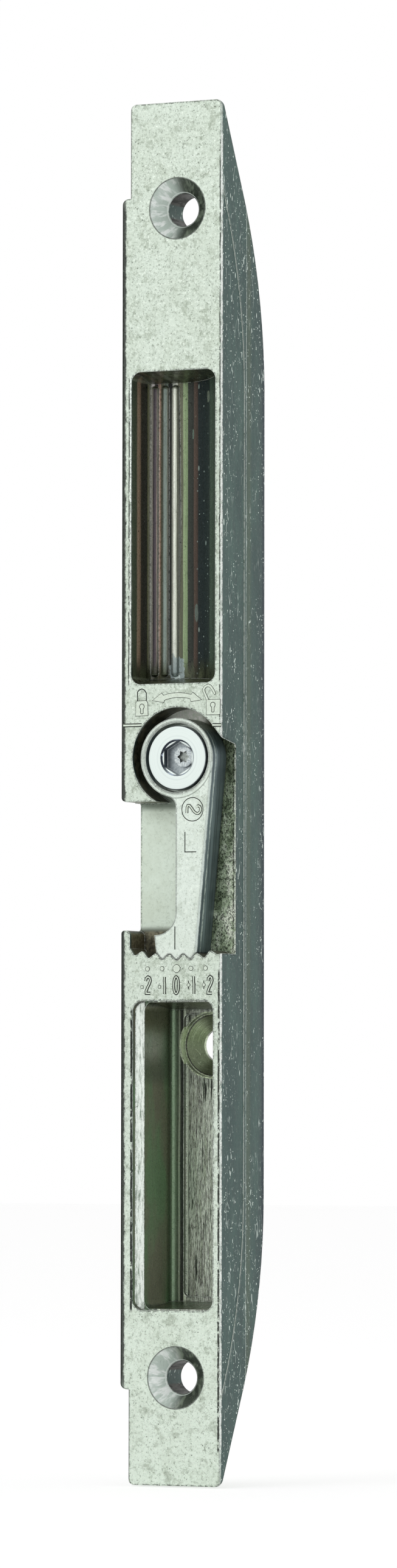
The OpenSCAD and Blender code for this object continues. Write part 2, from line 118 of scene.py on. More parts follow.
def area_light(name, place, aim, size, power, size_y=None):
    data = bpy.data.lights.new(name, "AREA")
    data.energy = power
    data.size = size
    if size_y:
        data.shape = "RECTANGLE"
        data.size_y = size_y
    lamp = bpy.data.objects.new(name, data)
    bpy.context.collection.objects.link(lamp)
    lamp.location = place
    lamp.rotation_euler = (Vector(aim) - Vector(place)).to_track_quat("-Z", "Y").to_euler()


# Node graphs

def srgb(r, g, b):
    def lin(c):
        c = c / 255.0
        return c / 12.92 if c <= 0.04045 else ((c + 0.055) / 1.055) ** 2.4
    return (lin(r), lin(g), lin(b), 1.0)


class Graph:
    """Short calls for building one material's nodes. Most values may be a number or a socket."""

    def __init__(self, name):
        self.mat = bpy.data.materials.new(name)
        self.mat.use_nodes = True
        self.tree = self.mat.node_tree
        self.bsdf = self.tree.nodes["Principled BSDF"]

    def put(self, socket, value):
        if isinstance(value, bpy.types.NodeSocket):
            self.tree.links.new(value, socket)
        elif value is not None:
            socket.default_value = value

    def add(self, kind, ins, out=0, **props):
        """A new node with these inputs set or linked, where None leaves an input as it is."""
        node = self.tree.nodes.new(kind)
        for key, value in props.items():
            setattr(node, key, value)
        for key, value in ins.items():
            self.put(node.inputs[key], value)
        return node.outputs[out]

    def math(self, op, a, b=None):
        return self.add("ShaderNodeMath", {0: a, 1: b}, operation=op)

    def mul(self, a, b):
        return self.math("MULTIPLY", a, b)

    def sum(self, a, b):
        return self.math("ADD", a, b)

    def sub(self, a, b):
        return self.math("SUBTRACT", a, b)

    def vec(self, op, a, b=None, out=0, **named):
        return self.add("ShaderNodeVectorMath", {0: a, 1: b, **named}, out=out, operation=op)

    def xyz(self, vector):
        node = self.tree.nodes.new("ShaderNodeSeparateXYZ")
        self.tree.links.new(vector, node.inputs[0])
        return node.outputs[0], node.outputs[1], node.outputs[2]

    def join(self, x, y, z):
        return self.add("ShaderNodeCombineXYZ", {0: x, 1: y, 2: z})

    def step(self, value, low, high, to_low=0.0, to_high=1.0):
        return self.add("ShaderNodeMapRange", {0: value, 1: low, 2: high, 3: to_low, 4: to_high},
                        interpolation_type="SMOOTHSTEP")

    def band(self, value, low, high, soft=0.1):
        return self.mul(self.step(value, low - soft, low + soft), self.step(value, high + soft, high - soft))

    def mix(self, factor, a, b):
        node = self.tree.nodes.new("ShaderNodeMix")
        node.data_type = "RGBA"
        for index, value in ((0, factor), (6, a), (7, b)):
            self.put(node.inputs[index], value)
        return node.outputs[2]

    def ramp(self, factor, stops):
        node = self.tree.nodes.new("ShaderNodeValToRGB")
        self.put(node.inputs[0], factor)
        elements = node.color_ramp.elements
        while len(elements) > 1:
            elements.remove(elements[-1])
        elements[0].position, elements[0].color = stops[0]
        for place, colour in stops[1:]:
            elements.new(place).color = colour
        return node.outputs[0]

    def noise(self, vector, scale, detail=2.0, rough=0.5, distortion=0.0):
        return self.add("ShaderNodeTexNoise", {"Vector": vector, "Scale": scale, "Detail": detail,
                                               "Roughness": rough, "Distortion": distortion})

    def spots(self, vector, cell, radius, share):
        """Round spots in a share of the cells, up to this radius. Cell and radius are in millimetres."""
        node = self.tree.nodes.new("ShaderNodeTexVoronoi")
        self.put(node.inputs["Vector"], vector)
        node.inputs["Scale"].default_value = 1.0 / cell
        pick, size, _ = self.xyz(node.outputs["Color"])
        inside = self.step(self.sub(node.outputs["Distance"], self.mul(size, radius / cell)), 0.04, -0.04)
        return self.mul(inside, self.step(pick, 1.0 - share, 1.02 - share))

    def hairs(self, vector, scale, width, share, shift=0.0):
        """Thin curved lines, as scratches are, on a share of the surface."""
        at = self.vec("ADD", vector, (shift, shift * 0.4, shift * 2.0))
        line = self.math("ABSOLUTE", self.sub(self.noise(at, scale, 1.0, 0.4, 0.3), 0.5))
        where = self.noise(self.vec("ADD", at, (31.0, 7.0, 13.0)), scale * 0.9, 1.0)
        return self.mul(self.step(line, width, 0.0), self.step(where, 1.0 - share, 1.04 - share))

    def most(self, *values):
        total = values[0]
        for value in values[1:]:
            total = self.math("MAXIMUM", total, value)
        return total

    def all(self, *values):
        total = values[0]
        for value in values[1:]:
            total = self.mul(total, value)
        return total

    def stretch(self, x, y, z):
        return self.vec("MULTIPLY", self.p, (x, y, z))

    def bump(self, height, strength, distance, normal=None):
        return self.add("ShaderNodeBump", {"Height": height, "Strength": strength, "Distance": distance,
                                           "Normal": normal})

    def place(self):
        """Object position in millimetres."""
        at = self.add("ShaderNodeTexCoord", {}, out="Object")
        return self.vec("SCALE", at, **{"Scale": 1000.0})

    def normal(self):
        return self.add("ShaderNodeNewGeometry", {}, out="Normal")

    def finish(self, colour, roughness, metallic, normal, specular=0.5):
        self.put(self.bsdf.inputs["Specular IOR Level"], specular)
        self.put(self.bsdf.inputs["Base Color"], colour)
        self.put(self.bsdf.inputs["Roughness"], roughness)
        self.put(self.bsdf.inputs["Metallic"], metallic)
        self.put(self.bsdf.inputs["Normal"], normal)
        return self.mat


def shade(rgb, factor):
    return tuple(min(255, c * factor) for c in rgb)


# Colour of the plated casting by the way a face looks across the plate, from -X to +X, with painted shade on
# faces that turn to -X, a painted highlight on faces half turned to +X, and painted reflection on faces that
# look to +X.
ACROSS_SHADE_AND_REFLECTION = [
    (-1.0, (24, 32, 28)), (-0.8, (30, 38, 33)), (-0.6, (60, 72, 62)), (-0.42, (96, 110, 96)),
    (-0.26, (176, 188, 174)), (-0.12, (211, 223, 210)), (0.12, (211, 223, 210)), (0.4, (206, 220, 208)),
    (0.62, (226, 237, 230)), (0.78, (208, 220, 214)), (0.86, (128, 144, 138)), (0.93, (84, 103, 99)),
    (1.0, (84, 103, 99)),
]

# Painted reflections, as streaks on the ribs of the upper pocket, by the place across the plate.
RIB_REFLECTIONS = [
    (-7.35, (120, 132, 116)), (-7.2, (216, 212, 208)), (-6.7, (204, 198, 196)), (-6.6, (80, 72, 80)),
    (-6.18, (86, 76, 82)), (-6.08, (226, 192, 178)), (-5.72, (212, 182, 160)), (-5.6, (130, 132, 112)),
    (-5.2, (128, 130, 110)), (-5.05, (146, 160, 152)), (-4.55, (134, 150, 142)), (-4.45, (22, 26, 22)),
    (-3.86, (16, 20, 17)), (-3.72, (214, 222, 206)), (-3.4, (248, 252, 240)), (-3.0, (226, 232, 216)),
    (-2.88, (104, 104, 84)), (-2.15, (92, 96, 76)), (-2.02, (140, 160, 120)), (-1.4, (128, 150, 110)),
    (-1.25, (38, 44, 36)), (-0.35, (34, 40, 34)), (-0.15, (92, 76, 66)), (0.4, (84, 70, 62)),
    (0.6, (42, 54, 56)), (1.6, (52, 66, 68)), (2.8, (62, 76, 74)), (3.1, (96, 118, 102)),
    (4.2, (84, 104, 90)), (5.2, (96, 110, 96)), (6.2, (150, 164, 150)),
]

# Painted reflections on the left wall of the upper pocket, by depth.
WALL_REFLECTIONS = [
    (0.0, (82, 94, 76)), (1.7, (72, 84, 66)), (2.1, (168, 146, 126)), (2.8, (154, 132, 112)),
    (3.3, (46, 50, 40)), (5.2, (34, 40, 30)), (5.45, (120, 124, 88)), (5.9, (140, 142, 128)),
    (6.4, (150, 152, 148)),
]

# Spills of plating on the floor of the upper pocket: centre, half width, half height and colour.
SPILLS = [
    (-3.0, 18.1, 1.3, 1.9, (148, 164, 164)), (-3.0, 16.9, 0.5, 0.4, (190, 204, 200)),
    (0.25, 26.2, 0.35, 1.4, (110, 126, 118)), (2.6, 57.6, 0.3, 0.9, (150, 164, 146)),
    (-0.4, 52.2, 0.18, 0.7, (96, 116, 104)),
]

# The floor of the lower pocket, by the place across the plate: painted highlight on the fillet, painted shade
# in the groove, a painted bright line, and the milled floor.
LOWER_FLOOR_REFLECTIONS = [
    (-5.9, (70, 84, 66)), (-5.5, (120, 146, 116)), (-4.95, (96, 116, 92)), (-4.7, (64, 78, 62)),
    (-4.5, (168, 182, 160)), (-4.25, (24, 30, 26)), (-3.84, (24, 30, 26)), (-3.74, (214, 226, 206)),
    (-3.4, (220, 232, 212)), (-3.28, (52, 60, 50)), (-2.4, (108, 118, 104)), (0.0, (128, 136, 122)),
    (6.0, (112, 122, 108)),
]

# The milled part of that floor, by a streaky noise: milling streaks with painted reflections on them.
MILLED_REFLECTIONS = [
    (0.34, (18, 22, 18)), (0.42, (58, 68, 54)), (0.45, (196, 208, 190)), (0.49, (222, 232, 216)),
    (0.52, (96, 92, 92)), (0.56, (76, 84, 70)), (0.6, (206, 218, 196)), (0.64, (120, 130, 112)),
    (0.7, (30, 36, 30)),
]

# The golden floor beside the lever, by a slow noise.
GOLD = [(0.28, (56, 68, 48)), (0.42, (124, 142, 112)), (0.56, (180, 198, 168)), (0.7, (240, 248, 230))]

# Lines along the margins of the front, the dark ones painted shade and the bright ones painted highlight:
# from X to X, from Z to Z, where they break off, and their colour.
MARGIN_SHADE_AND_HIGHLIGHT_LINES = [
    (-7.8, -7.62, 15.5, 60.0, 0.4, (22, 28, 23)),
    (-7.56, -7.38, 15.5, 60.0, 0.4, (246, 252, 246)),
    (-7.34, -6.98, -75.0, -31.5, 0.38, (10, 14, 11)),
    (6.68, 6.95, -95.0, -26.0, 0.4, (10, 14, 11)),
    (6.82, 6.98, 10.0, 95.0, 0.4, (10, 14, 11)),
    (7.02, 7.3, -95.0, 95.0, 0.42, (250, 255, 250)),
]

# The painted highlight lines along the side of the lever: from depth to depth, where they break off, and
# their strength.
LEVER_SIDE_HIGHLIGHTS = [(-0.1, 0.26, 0.3, 1.0), (1.05, 1.4, 0.42, 0.75)]

# Painted light and shade on the walls of the key socket, by the way they look along the plate, and on its
# chamfer, across it.
HEX_WALL_LIGHT_AND_SHADE = [
    (-1.0, (66, 80, 90)), (-0.4, (48, 58, 66)), (0.3, (50, 60, 68)), (0.8, (168, 178, 182)),
    (1.0, (182, 192, 194)),
]
HEX_CHAMFER_LIGHT_AND_SHADE = [(-1.0, (206, 216, 216)), (-0.1, (150, 162, 168)), (0.35, (34, 44, 56)), (1.0, (28, 36, 50))]


class Metal(Graph):
    """Sockets that the plated materials share."""

    def __init__(self, name):
        super().__init__(name)
        self.p = self.place()
        self.x, self.y, self.z = self.xyz(self.p)
        self.depth = self.sub(self.y, FRONT_Y)
        shown = self.normal()
        self.nx, self.ny, self.nz = self.xyz(shown)
        self.facing = self.mul(self.ny, -1.0)
        self.soft = self.add("ShaderNodeBevel", {"Radius": 0.2 * MM}, samples=6)
        self.edge = self.sub(1.0, self.vec("DOT_PRODUCT", self.soft, shown, out=1))
        wide = self.add("ShaderNodeBevel", {"Radius": 0.6 * MM}, samples=8)
        self.near = self.sub(1.0, self.vec("DOT_PRODUCT", wide, shown, out=1))
        self.cloud = self.noise(self.p, 0.25, 3.0, 0.6)
        self.grain = self.noise(self.p, 2.2, 5.0, 0.8)
        self.fine = self.noise(self.p, 9.0, 2.0, 0.6)

    def rulers(self, value, stops, gain=1.0):
        """A colour ramp along a value, with its stops given in that value's own unit."""
        low, high = stops[0][0], stops[-1][0]
        span = high - low
        return self.ramp(self.add("ShaderNodeMapRange", {0: value, 1: low, 2: high}),
                         [((at - low) / span, srgb(*shade(rgb, gain))) for at, rgb in stops])

    def graded(self, value, stops):
        """A colour ramp on a value from 0 to 1."""
        return self.ramp(value, [(at, srgb(*rgb)) for at, rgb in stops])

    def two_tone(self, value, low, high, dark, light):
        return self.mix(self.step(value, low, high), srgb(*dark), srgb(*light))

    def patch(self, cx, cz, rx, rz, rough=0.35):
        """A blotch with an uneven edge, round a place on the front view."""
        dx = self.math("DIVIDE", self.sub(self.x, cx), rx)
        dz = self.math("DIVIDE", self.sub(self.z, cz), rz)
        reach = self.math("SQRT", self.sum(self.mul(dx, dx), self.mul(dz, dz)))
        wobble = self.mul(self.sub(self.noise(self.p, 1.1, 3.0, 0.6), 0.5), rough * 4)
        return self.step(self.sum(reach, wobble), 1.05, 0.9)

    def polar(self, cx, cz):
        """Distance and angle round an axis along Y."""
        dx, dz = self.sub(self.x, cx), self.sub(self.z, cz)
        return self.math("SQRT", self.sum(self.mul(dx, dx), self.mul(dz, dz))), self.math("ARCTAN2", dz, dx)


def front_finish(g, base, wear=1.0):
    """The pale front: mottling, pits, short scratches, and grime that thickens towards the edges."""
    p = g.p
    close = g.step(g.near, 0.0, 0.1)
    blotch = g.noise(p, 0.6, 5.0, 0.7)
    colour = g.mix(g.step(g.cloud, 0.35, 0.7, 0.0, 0.5 * wear), base, g.mix(0.5, base, srgb(178, 190, 170)))
    colour = g.mix(g.step(blotch, 0.5, 0.66, 0.0, 0.6 * wear), colour, srgb(158, 170, 152))
    colour = g.mix(g.step(g.grain, 0.46, 0.34, 0.0, 0.8), colour, srgb(238, 247, 236))
    colour = g.mix(g.step(g.grain, 0.54, 0.64, 0.0, 0.65 * wear), colour, srgb(126, 138, 120))
    pits = g.most(g.spots(p, 0.9, 0.12, 0.3), g.spots(p, 0.45, 0.11, 0.1))
    hairs = g.most(g.hairs(p, 1.1, 0.012, 0.45), g.hairs(p, 2.0, 0.014, 0.4, 17.0))
    colour = g.mix(g.mul(pits, 0.6 * wear), colour, srgb(70, 80, 66))
    colour = g.mix(g.mul(hairs, 0.55 * wear), colour, srgb(92, 102, 86))
    dark_mottle = g.sum(g.noise(p, 4.5, 3.0, 0.8), g.mul(close, 0.1))
    colour = g.mix(g.step(dark_mottle, 0.63, 0.69, 0.0, 0.8 * wear), colour, srgb(52, 60, 50))
    return colour, pits, hairs


def edge_soil_shade_and_highlight(g, colour, level=0.5, reach=1.0, clean=0.0):
    """A broken black line beside each edge, partly soiling and partly painted shade, and a painted highlight
    on it.
    """
    flat = g.step(g.edge, 0.09, 0.03)
    broken = g.step(g.noise(g.p, 2.6, 4.0, 0.8), level - 0.03, level + 0.04)
    dirt_and_shade = g.all(g.step(g.near, 0.02 / reach, 0.07 / reach), flat, broken)
    colour = g.mix(g.all(dirt_and_shade, g.sub(1.0, clean), 0.85), colour, srgb(24, 30, 25))
    # Painted highlight on each edge
    shine = g.mul(g.step(g.edge, 0.09, 0.17), g.step(g.noise(g.p, 1.8, 2.0), 0.36, 0.46))
    return g.mix(g.mul(shine, 0.8), colour, srgb(238, 246, 238))


def flank_reflection_and_nicks(g):
    """The right flank: a slate tone that is painted reflection, darker and bluer towards the back, drawn
    streaks, a dotted parting line, and light nicks that gather towards the ends.
    """
    run = g.stretch(1.0, 1.0, 0.22)
    # A slate tone that is painted reflection
    tone = g.two_tone(g.noise(run, 0.35, 3.0), 0.3, 0.7, (52, 80, 76), (70, 100, 92))
    tone = g.mix(g.step(g.noise(run, 2.6, 3.0, 0.7), 0.35, 0.7, 0.0, 0.5), tone, srgb(60, 76, 74))
    tone = g.mix(g.band(g.depth, 8.5, 9.8, 0.5), tone, g.mix(0.6, tone, srgb(82, 98, 78)))
    tone = g.mix(g.step(g.depth, 11.5, 14.0, 0.0, 0.6), tone, srgb(54, 70, 72))
    tone = g.mix(g.step(g.depth, 13.4, 14.2, 0.0, 0.7), tone, srgb(34, 46, 60))
    sway = g.mul(g.sub(g.noise(run, 0.5, 1.0), 0.5), 0.3)
    seam = g.band(g.sum(g.depth, sway), PARTING_DEPTH - 0.04, PARTING_DEPTH + 0.04, 0.04)
    seam = g.mul(seam, g.step(g.noise(g.p, 2.4, 3.0, 0.8), 0.4, 0.5, 0.25, 1.0))
    ends = g.step(g.math("ABSOLUTE", g.z), 44.0, 76.0, 0.0, 0.24)
    middle = g.mul(g.band(g.z, -30.0, 12.0, 4.0), g.band(g.depth, 1.0, 7.4, 0.9))
    band = g.most(g.band(g.depth, 1.0, 4.6, 0.9), g.band(g.depth, 12.0, 15.0, 0.8), middle)
    where = g.step(g.sum(g.sum(g.noise(g.p, 0.25, 3.0, 0.6), ends), g.mul(band, 0.08)), 0.48, 0.64, 0.1, 1.0)
    nicks = g.most(
        g.spots(g.stretch(1.0, 1.0, 0.3), 0.55, 0.16, 0.3),
        g.spots(g.p, 0.4, 0.12, 0.22),
        g.hairs(g.stretch(1.0, 1.0, 0.3), 1.0, 0.02, 0.42),
        g.hairs(g.stretch(1.0, 1.0, 0.5), 2.1, 0.02, 0.4, 9.0),
    )
    tone = g.mix(g.all(nicks, where, 0.95), tone, srgb(222, 236, 228))
    return g.mix(seam, tone, srgb(234, 246, 238))


def upper_pocket(g):
    """Painted reflections as streaks along the ribs and on the left wall, painted shade at the ends with
    painted highlight arcs, dust in the trough and spills of plating.
    """
    wander = g.mul(g.sub(g.noise(g.stretch(0.4, 0.4, 0.05), 1.0, 2.0), 0.5), 0.3)
    # Painted reflections along the ribs and on the left wall
    ribs = g.rulers(g.sum(g.x, wander), RIB_REFLECTIONS, 1.0)
    wall = g.rulers(g.sum(g.depth, wander), WALL_REFLECTIONS, 1.2)
    tone = g.mix(g.step(g.nx, 0.6, 0.85), ribs, wall)
    drawn = g.noise(g.stretch(3.0, 3.0, 0.1), 1.6, 3.0, 0.7)
    tone = g.mix(g.step(drawn, 0.4, 0.7, 0.0, 0.35), tone, srgb(36, 42, 34))
    tilt = g.math("ABSOLUTE", g.nz)
    cloudy = g.noise(g.stretch(1.0, 1.0, 0.3), 0.9, 3.0)
    # Painted shade at the ends of the pocket
    end_shade = g.two_tone(cloudy, 0.35, 0.65, (52, 56, 40), (98, 106, 80))
    tone = g.mix(g.step(g.z, 20.0, 17.2, 0.0, 0.9), tone, end_shade)
    tone = g.mix(g.step(tilt, 0.3, 0.6, 0.0, 0.85), tone, end_shade)
    # Painted highlight arcs where the ends turn
    tone = g.mix(g.mul(g.band(tilt, 0.22, 0.42, 0.06), 0.55), tone, srgb(150, 160, 138))
    trough = g.band(g.x, 0.4, 3.2, 0.4)
    dust = g.most(g.spots(g.p, 0.42, 0.14, 0.25), g.spots(g.stretch(1.0, 1.0, 0.4), 0.7, 0.16, 0.2))
    tone = g.mix(g.all(dust, trough, 0.8), tone, srgb(176, 198, 190))
    tone = g.mix(g.mul(g.spots(g.p, 0.8, 0.16, 0.16), 0.6), tone, srgb(18, 22, 18))
    scratches = g.hairs(g.stretch(1.0, 1.0, 0.4), 1.4, 0.014, 0.3, 5.0)
    tone = g.mix(g.mul(scratches, 0.5), tone, srgb(160, 172, 150))
    for cx, cz, rx, rz, rgb in SPILLS:
        tone = g.mix(g.mul(g.patch(cx, cz, rx, rz), 0.8), tone, srgb(*rgb))
    return tone


def lower_pocket(g):
    """An olive wall with painted shade at its foot, a milled floor with painted highlights and reflections,
    painted shade at the ends, a painted reflection on the bevel on the left, and the rings of the countersink
    with painted lit lobes and painted shade.
    """
    run = g.stretch(1.0, 1.0, 0.35)
    wall = g.two_tone(g.noise(run, 0.28, 2.0), 0.35, 0.65, (134, 170, 128), (150, 150, 128))
    wall = g.mix(g.step(g.z, -43.0, -41.0, 0.0, 0.75), wall, srgb(108, 118, 100))
    wall = g.mix(g.mul(g.step(g.z, -36.0, -33.0), 0.7), wall, srgb(112, 106, 80))
    # Painted shade at the foot of the wall
    wall = g.mix(g.step(g.depth, 8.6, 10.4, 0.0, 0.75), wall, srgb(54, 62, 50))
    drawn = g.noise(g.stretch(1.0, 4.0, 0.12), 1.2, 3.0, 0.7)
    wall = g.mix(g.step(drawn, 0.45, 0.7, 0.0, 0.3), wall, srgb(60, 72, 56))
    drift = g.mul(g.sub(g.noise(g.stretch(0.3, 0.3, 0.06), 1.0, 2.0), 0.5), 0.25)
    # Painted highlights, painted shade and painted reflections across the floor
    floor = g.rulers(g.sum(g.x, drift), LOWER_FLOOR_REFLECTIONS, 1.1)
    milled = g.graded(g.noise(g.stretch(1.6, 1.0, 0.06), 1.7, 4.0, 0.85), MILLED_REFLECTIONS)
    floor = g.mix(g.step(g.x, -3.4, -3.1, 0.1, 1.0), floor, milled)
    tone = g.mix(g.step(g.facing, 0.25, 0.6), wall, floor)
    tilt = g.math("ABSOLUTE", g.nz)
    # Painted shade on the ends
    ends = g.two_tone(g.noise(g.p, 0.9, 3.0), 0.35, 0.65, (34, 40, 32), (92, 98, 80))
    tone = g.mix(g.step(tilt, 0.3, 0.6, 0.0, 0.8), tone, ends)
    # Painted reflection on the bevel
    sheen = g.noise(g.stretch(2.0, 2.0, 0.25), 1.8, 4.0, 0.8)
    bevel_reflection = g.two_tone(sheen, 0.45, 0.68, (244, 252, 244), (128, 144, 128))
    bevel = g.all(g.step(g.x, -5.8, -5.9), g.step(g.facing, 0.3, 0.6), g.step(g.depth, 1.9, 1.75))
    tone = g.mix(bevel, tone, bevel_reflection)
    tone = g.mix(g.mul(g.spots(g.p, 1.1, 0.14, 0.2), 0.6), tone, srgb(20, 24, 20))
    radius, angle = g.polar(*POCKET_HOLE)
    rings = g.noise(g.join(radius, 0.0, 0.0), 6.0, 3.0, 0.7)
    cone = g.mix(g.step(rings, 0.35, 0.65), srgb(172, 190, 146), srgb(232, 248, 210))
    # Painted lit lobes, and painted shade on the cone's upper and lower parts
    lit_lobes = g.step(g.math("SINE", g.sum(g.mul(angle, 2.0), 0.6)), -0.2, 0.9, 0.0, 0.6)
    cone = g.mix(lit_lobes, cone, srgb(216, 230, 200))
    cone = g.mix(g.mul(g.step(tilt, 0.45, 0.68), 0.8), cone, srgb(58, 62, 44))
    rim_line = g.band(radius, POCKET_RIM_LINE_R, POCKET_RIM_LINE_R + 0.15, 0.05)
    cone = g.mix(rim_line, cone, srgb(54, 52, 42))
    return g.mix(g.step(radius, POCKET_SINK_R, POCKET_SINK_R - 0.1), tone, cone)


def back_floor(g):
    """Behind the lever: pale in the window with a painted shadow under its top edge, brown at the rack's left
    end, golden beside the lever with lines of painted shade and highlight at its margin, and a pale crescent
    with painted shade beside the lever's head.
    """
    pale = g.two_tone(g.cloud, 0.3, 0.7, (214, 227, 213), (202, 214, 198))
    pale = g.mix(g.step(g.grain, 0.52, 0.68, 0.0, 0.35), pale, srgb(164, 176, 158))
    pale = g.mix(g.mul(g.spots(g.p, 1.4, 0.15, 0.3), 0.6), pale, srgb(96, 106, 90))
    # Painted shadow under the window's top edge
    pale = g.mix(g.step(g.z, -2.9, -1.9, 0.0, 0.75), pale, srgb(92, 106, 92))
    pale = g.mix(g.step(g.z, -19.2, -20.1, 0.0, 0.85), pale, srgb(74, 80, 64))
    brown = g.two_tone(g.noise(g.p, 1.1, 4.0, 0.7), 0.38, 0.66, (52, 48, 36), (136, 132, 108))
    pale = g.mix(g.mul(g.step(g.z, RACK_FLOOR_Z + 0.1, RACK_FLOOR_Z - 0.4), 0.9), pale, brown)
    sheen = g.noise(g.stretch(1.0, 1.0, 0.6), 0.8, 4.0, 0.7)
    slope = g.sum(g.mul(g.sub(g.x, 5.4), 0.06), g.mul(g.sum(g.z, 10.0), -0.006))
    gold = g.graded(g.sum(sheen, slope), GOLD)
    gold = g.mix(g.step(g.z, -3.0, 5.0, 0.0, 0.5), gold, srgb(64, 72, 50))
    granules = g.noise(g.stretch(1.0, 1.0, 0.7), 4.5, 4.0, 0.85)
    gold = g.mix(g.step(granules, 0.48, 0.56, 0.0, 0.9), gold, srgb(22, 30, 20))
    gold = g.mix(g.mul(g.hairs(g.p, 2.4, 0.03, 0.4), 0.7), gold, srgb(24, 30, 20))
    gold = g.mix(g.mul(g.spots(g.p, 0.35, 0.14, 0.25), 0.7), gold, srgb(220, 232, 208))
    # Painted shade and painted highlight lines along the right margin
    margin = g.step(g.noise(g.p, 1.8, 3.0, 0.8), 0.44, 0.52)
    gold = g.mix(g.all(g.band(g.x, 6.72, 6.9, 0.05), margin, 0.85), gold, srgb(24, 30, 24))
    gold = g.mix(g.all(g.band(g.x, 6.98, 7.14, 0.05), margin, 0.85), gold, srgb(234, 244, 232))
    tone = g.mix(g.step(g.x, 0.8, 2.0), pale, gold)
    crescent = g.two_tone(g.grain, 0.34, 0.62, (255, 255, 250), (226, 236, 220))
    from_pivot, _ = g.polar(0.0, PIVOT_Z)
    # Painted shade beside the lever's head and on the left of the crescent
    inner = g.step(g.sum(from_pivot, g.mul(g.sub(g.grain, 0.5), 2.0)), 7.0, 6.5)
    crescent = g.mix(g.mul(inner, g.step(g.x, 1.2, 3.2)), crescent, srgb(58, 60, 44))
    crescent = g.mix(g.step(g.x, -2.6, -4.4), crescent, srgb(44, 46, 34))
    return g.mix(g.step(g.z, *HEAD_FLOOR_Z), tone, crescent)


def countersink(g, colour, cz):
    """Painted radial glints, painted shade on the +X side, a painted highlight on the rim of the bore, and
    painted shade in the bore.
    """
    radius, angle = g.polar(0.0, cz)
    cone = g.all(g.step(radius, SINK_R, SINK_R - 0.1), g.band(g.facing, 0.4, 0.9, 0.05))
    rays = g.noise(g.join(g.mul(angle, 2.2), g.mul(radius, 0.3), cz), 1.6, 3.0, 0.65)
    # Painted glints on the lit side and painted shade on the +X side
    lit_side = g.two_tone(rays, 0.42, 0.62, (198, 212, 203), (250, 255, 252))
    shaded_side = g.two_tone(rays, 0.45, 0.65, (44, 52, 42), (116, 128, 110))
    glint = g.mix(g.step(g.nx, 0.35, -0.15), lit_side, shaded_side)
    colour = g.mix(g.mul(cone, 0.9), colour, glint)
    # Painted highlight on the rim of the bore
    bore_rim_highlight = g.band(radius, BORE_R, BORE_R + 0.12, 0.03)
    colour = g.mix(g.mul(bore_rim_highlight, 0.8), colour, srgb(240, 248, 242))
    rim_line = g.band(radius, RIM_LINE_R, RIM_LINE_R + 0.16, 0.04)
    colour = g.mix(g.mul(rim_line, 0.75), colour, srgb(52, 60, 52))
    # Painted shade in the bore
    bore = g.all(g.step(radius, BORE_R + 0.05, BORE_R), g.step(g.facing, 0.3, 0.1))
    wall = g.two_tone(g.noise(g.stretch(1.0, 0.2, 1.0), 2.0, 2.0), 0.4, 0.6, (46, 48, 42), (74, 76, 68))
    return g.mix(bore, colour, wall)


def recess_walls(g, colour, tilt, not_back):
    """The walls of the recess and of the lever's space are brown, darkened as painted shade, with painted
    shadow on tilted faces low in the rack.
    """
    inboard = g.mul(g.step(g.x, RECESS_X[1], RECESS_X[1] - 0.1), g.step(g.x, RECESS_X[0], RECESS_X[0] + 0.1))
    below = g.mul(g.step(g.depth, 0.25, 0.6), g.band(g.z, *RECESS_Z, 0.1))
    deep = g.all(below, g.step(g.facing, 0.5, 0.2), inboard, not_back)
    # Painted shade on the brown walls
    walls = g.two_tone(g.noise(g.p, 0.8, 4.0, 0.7), 0.36, 0.66, (34, 33, 24), (112, 108, 84))
    left = g.two_tone(g.noise(g.p, 1.2, 4.0, 0.75), 0.38, 0.6, (60, 64, 44), (190, 200, 170))
    walls = g.mix(g.step(g.nx, 0.2, -0.4), walls, left)
    low = g.step(g.z, -17.6, -18.6)
    post = g.two_tone(g.noise(g.p, 1.6, 4.0, 0.8), 0.4, 0.66, (104, 94, 70), (150, 142, 114))
    walls = g.mix(g.mul(low, g.step(g.nx, 0.2, 0.4)), walls, post)
    # Painted shadow on tilted faces low in the rack
    walls = g.mix(g.all(low, g.step(tilt, 0.4, 0.7), 0.8), walls, srgb(24, 24, 18))
    return g.mix(g.mul(deep, 0.9), colour, walls)


def margin_shade_and_highlights(g, colour):
    """Painted shade on the rounded left edge, and lines of painted shade and painted highlight along the
    margins.
    """
    ragged = g.mul(g.sub(g.noise(g.stretch(1.0, 1.0, 0.7), 1.5, 4.0, 0.8), 0.5), 0.9)
    outer = g.step(g.sum(g.x, ragged), LEFT_EDGE_X + 0.8, LEFT_EDGE_X + 0.5)
    outer = g.all(outer, g.step(g.depth, 1.2, 0.8), g.step(g.math("ABSOLUTE", g.z), 90.0, 84.0))
    # Painted shade on the rounded left edge
    dark_mottle = g.two_tone(g.noise(g.p, 2.2, 3.0, 0.8), 0.56, 0.72, (10, 14, 12), (84, 96, 84))
    colour = g.mix(g.mul(outer, 0.92), colour, dark_mottle)
    run = g.stretch(1.0, 1.0, 0.5)
    sway = g.mul(g.sub(g.noise(run, 1.2, 4.0, 0.8), 0.5), 0.24)
    wavy, front = g.sum(g.x, sway), g.step(g.depth, 0.4, 0.25)
    # Lines of painted shade and painted highlight along the margins
    for low_x, high_x, low_z, high_z, share, rgb in MARGIN_SHADE_AND_HIGHLIGHT_LINES:
        breaks = g.noise(g.vec("ADD", run, (low_x * 7.0, 0.0, high_x * 3.0)), 1.4, 4.0, 0.8)
        line = g.mul(g.band(wavy, low_x, high_x, 0.05), g.band(g.z, low_z, high_z, 0.4))
        colour = g.mix(g.all(line, g.step(breaks, share, share + 0.07), front, 0.95), colour, srgb(*rgb))
    return colour


